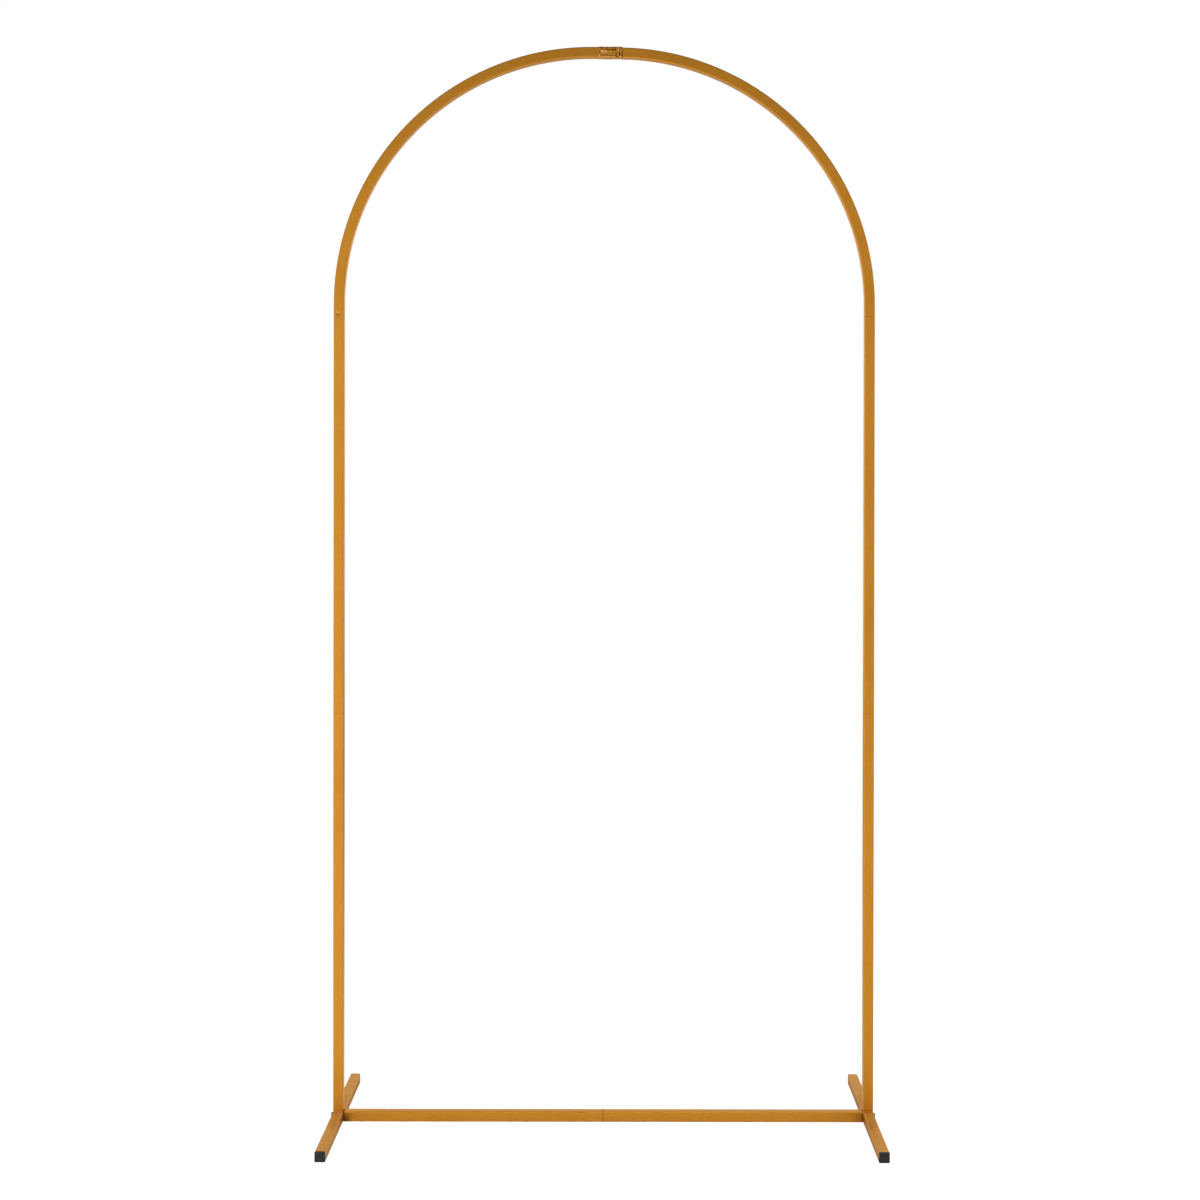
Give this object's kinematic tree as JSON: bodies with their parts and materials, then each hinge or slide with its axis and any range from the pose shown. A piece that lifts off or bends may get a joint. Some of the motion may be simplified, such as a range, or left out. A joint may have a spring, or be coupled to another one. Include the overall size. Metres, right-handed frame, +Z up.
{
  "type": "metal arch stand",
  "caption": "Free-standing round-topped arch frame of square steel tube, with a floor crossbar and two feet, used as a frame for flowers and balloons.",
  "frame": {"origin": "on the floor, midway between the legs and midway along the feet", "axes": "+Z up, +X across the archway towards the right leg as seen from the front, +Y towards the back"},
  "size_m": [1.0152, 0.45, 2.0006],
  "materials": {
    "gold_paint": "satin gold metallic paint, a little handled",
    "gold_foil": "crinkled gold film",
    "dark_steel": "dark zinc",
    "black_plastic": "moulded black plastic, satin"
  },
  "bodies": {
    "root": {"left_arch_tube": "gold_paint", "right_arch_tube": "gold_paint", "crown_wrap": "gold_foil", "left_upper_leg": "gold_paint", "right_upper_leg": "gold_paint", "left_lower_leg": "gold_paint", "right_lower_leg": "gold_paint", "left_crossbar": "gold_paint", "right_crossbar": "gold_paint", "left_foot": "gold_paint", "right_foot": "gold_paint", "left_foot_stub": "gold_paint", "right_foot_stub": "gold_paint", "left_foot_weld": "gold_paint", "right_foot_weld": "gold_paint", "left_foot_bolt": "dark_steel", "right_foot_bolt": "dark_steel", "left_crossbar_insert": "black_plastic", "right_crossbar_insert": "black_plastic", "left_front_plug": "black_plastic", "left_rear_plug": "black_plastic", "right_front_plug": "black_plastic", "right_rear_plug": "black_plastic"}
  },
  "joints": []
}
